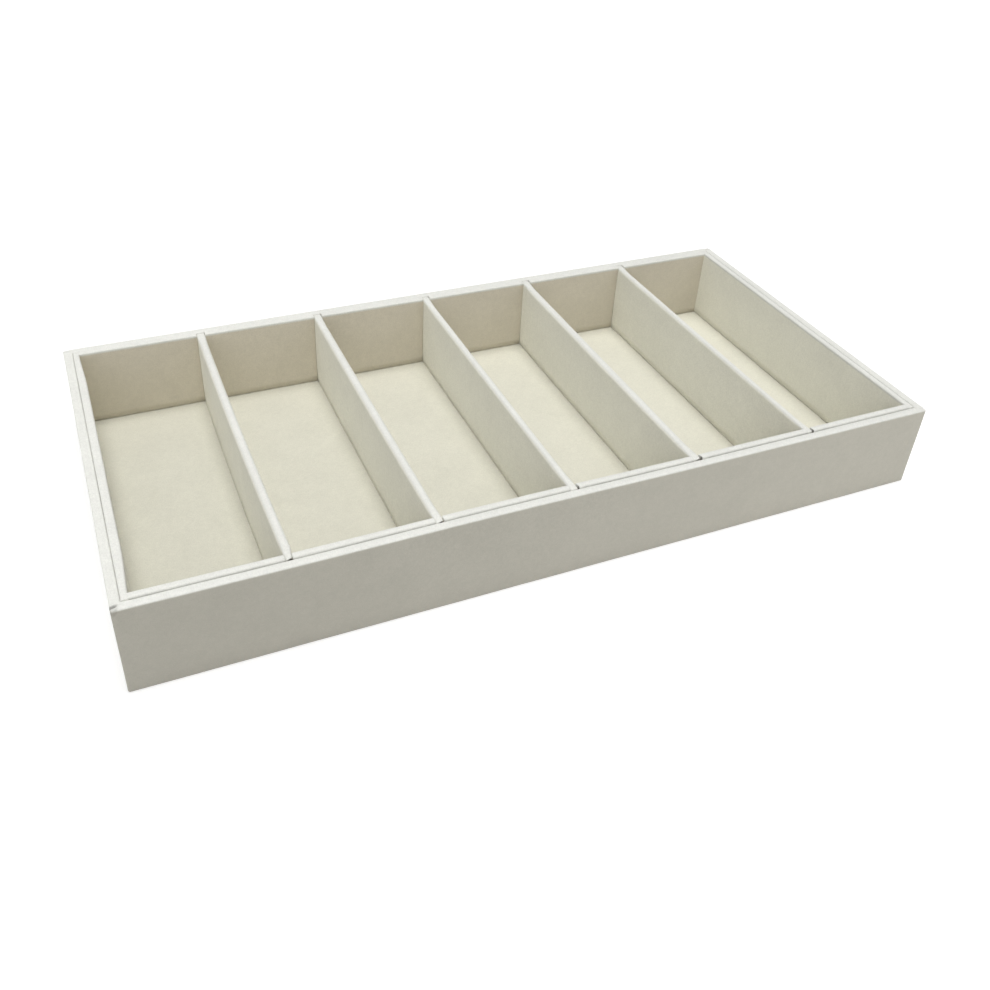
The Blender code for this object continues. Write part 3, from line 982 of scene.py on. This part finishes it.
class TRAY_OT_stage(bpy.types.Operator):
    """Make the pale floor, the soft light, the room and the camera."""

    bl_idname = "tray.stage"
    bl_label = "Studio"

    def execute(self, context):
        stage = context.scene.tray_stage
        self.make_floor(stage)
        self.make_lights(stage)
        self.make_room(stage)
        self.make_camera(stage)
        context.scene.view_settings.view_transform = "Standard"
        return {"FINISHED"}

    def make_floor(self, stage):
        """Lay the floor that the tray stands on, which glows a little to the camera."""
        shape = bmesh.new()
        bmesh.ops.create_grid(shape, x_segments=1, y_segments=1, size=stage.floor_width / 2)
        # The floor is a little below the lining, because two faces in one place flicker.
        bmesh.ops.translate(shape, vec=(0, 0, -FLOOR_DROP), verts=shape.verts)
        mesh = bpy.data.meshes.new("studio_floor")
        shape.to_mesh(mesh)
        shape.free()
        material, tree, shader = new_material("studio_floor")
        set_values(shader, {"Base Color": (*colours().floor, 1), "Roughness": 1,
                            "Specular IOR Level": 0})
        glow = add_node(tree, "ShaderNodeEmission", {
            "Color": (1, 1, 1, 1), "Strength": FLOOR_GLOW})
        seen = add_node(tree, "ShaderNodeLightPath").outputs["Is Camera Ray"]
        share = add_node(tree, "ShaderNodeMath", {1: GLOW_SHARE}, {0: seen}, operation="MULTIPLY")
        both = add_node(tree, "ShaderNodeMixShader", {}, {
            0: share.outputs[0], 1: shader.outputs[0], 2: glow.outputs[0]})
        tree.links.new(both.outputs[0], tree.nodes["Material Output"].inputs["Surface"])
        mesh.materials.append(material)
        floor = bpy.data.objects.new("studio_floor", mesh)
        bpy.context.scene.collection.objects.link(floor)

    def make_lights(self, stage):
        """Hang three far soft lights, and two near panels above and before the tray's right half."""
        # Each far light has its strength, the way to it, and how wide it looks in degrees.
        suns = (("overhead", stage.overhead, (0, 0, 1), 24),
                ("front_left", stage.front_light, (-0.843, -0.843, 1), 60),
                ("left", stage.left_light, (-2.747, 0, 1), 60))
        for name, strength, way, angle in suns:
            sun = bpy.data.lights.new(f"{name}_light", "SUN")
            sun.energy = strength
            sun.angle = math.radians(angle)
            self.hang(sun, Vector(way), (0, 0, 0))
        # Each near panel has its power and its place.
        panels = (("top", stage.top_panel, (0.4, 0, 0.8)),
                  ("front_right", stage.front_panel, (0.6, -0.6, 0.5)))
        for name, power, place in panels:
            panel = bpy.data.lights.new(f"{name}_panel", "AREA")
            panel.shape = "SQUARE"
            panel.size = PANEL_WIDTH
            panel.energy = power
            self.hang(panel, Vector(place) - Vector(PANEL_TARGET), place)

    def hang(self, light, way, place):
        """Hang a light at a place, so that it shines from that way."""
        lamp = bpy.data.objects.new(light.name, light)
        lamp.rotation_mode = "QUATERNION"
        lamp.rotation_quaternion = way.to_track_quat("Z", "Y")
        lamp.location = place
        bpy.context.scene.collection.objects.link(lamp)

    def make_room(self, stage):
        """Fill the room with a little even light, and show it pale."""
        room = bpy.data.worlds.new("studio_room")
        room.use_nodes = True
        tree = room.node_tree
        even = tree.nodes["Background"]
        set_values(even, {"Color": (1, 1, 1, 1), "Strength": stage.room_light})
        pale = add_node(tree, "ShaderNodeBackground", {"Color": (1, 1, 1, 1), "Strength": 1})
        seen = add_node(tree, "ShaderNodeLightPath").outputs["Is Camera Ray"]
        both = add_node(tree, "ShaderNodeMixShader", {}, {
            0: seen, 1: even.outputs[0], 2: pale.outputs[0]})
        tree.links.new(both.outputs[0], tree.nodes["World Output"].inputs["Surface"])
        bpy.context.scene.world = room

    def make_camera(self, stage):
        """Stand the camera where the photograph was taken from."""
        lens = bpy.data.cameras.new("camera")
        lens.sensor_width = SENSOR_MM
        lens.lens = stage.lens_mm
        lens.shift_x = stage.shift[0]
        lens.shift_y = stage.shift[1]
        lens.clip_start = CLIP_START
        camera = bpy.data.objects.new("camera", lens)
        camera.location = stage.camera_place
        camera.rotation_euler = [math.radians(angle) for angle in stage.camera_turn]
        bpy.context.scene.collection.objects.link(camera)
        bpy.context.scene.camera = camera


STEPS = (TRAY_OT_case_cloth, TRAY_OT_liner_cloth, TRAY_OT_divider_cloth, TRAY_OT_floor_cloth,
         TRAY_OT_boards, TRAY_OT_stage)


class TRAY_PT_panel(bpy.types.Panel):
    """List the steps and the sizes in the sidebar."""

    bl_idname = "TRAY_PT_panel"
    bl_label = "Eyewear tray"
    bl_space_type = "VIEW_3D"
    bl_region_type = "UI"
    bl_category = "Tray"

    def draw(self, context):
        for step in STEPS:
            self.layout.operator(step.bl_idname)
        scene = context.scene
        for group in (scene.tray_cloth, scene.tray_colours, scene.tray_stage):
            box = self.layout.box()
            for name in type(group).__annotations__:
                box.prop(group, name)


CLASSES = (TrayCloth, TrayColours, TrayStage, *STEPS, TRAY_PT_panel)


def register():
    """Add the classes and the scene's settings."""
    for item in CLASSES:
        bpy.utils.register_class(item)
    bpy.types.Scene.tray_cloth = bpy.props.PointerProperty(type=TrayCloth)
    bpy.types.Scene.tray_colours = bpy.props.PointerProperty(type=TrayColours)
    bpy.types.Scene.tray_stage = bpy.props.PointerProperty(type=TrayStage)


def unregister():
    """Take the settings and the classes away again."""
    del bpy.types.Scene.tray_stage
    del bpy.types.Scene.tray_colours
    del bpy.types.Scene.tray_cloth
    for item in reversed(CLASSES):
        bpy.utils.unregister_class(item)


def main():
    """Make every piece and the studio."""
    register()
    bpy.ops.tray.case_cloth()
    bpy.ops.tray.liner_cloth()
    bpy.ops.tray.divider_cloth()
    bpy.ops.tray.floor_cloth()
    bpy.ops.tray.boards()
    bpy.ops.tray.stage()


if __name__ == "__main__":
    main()
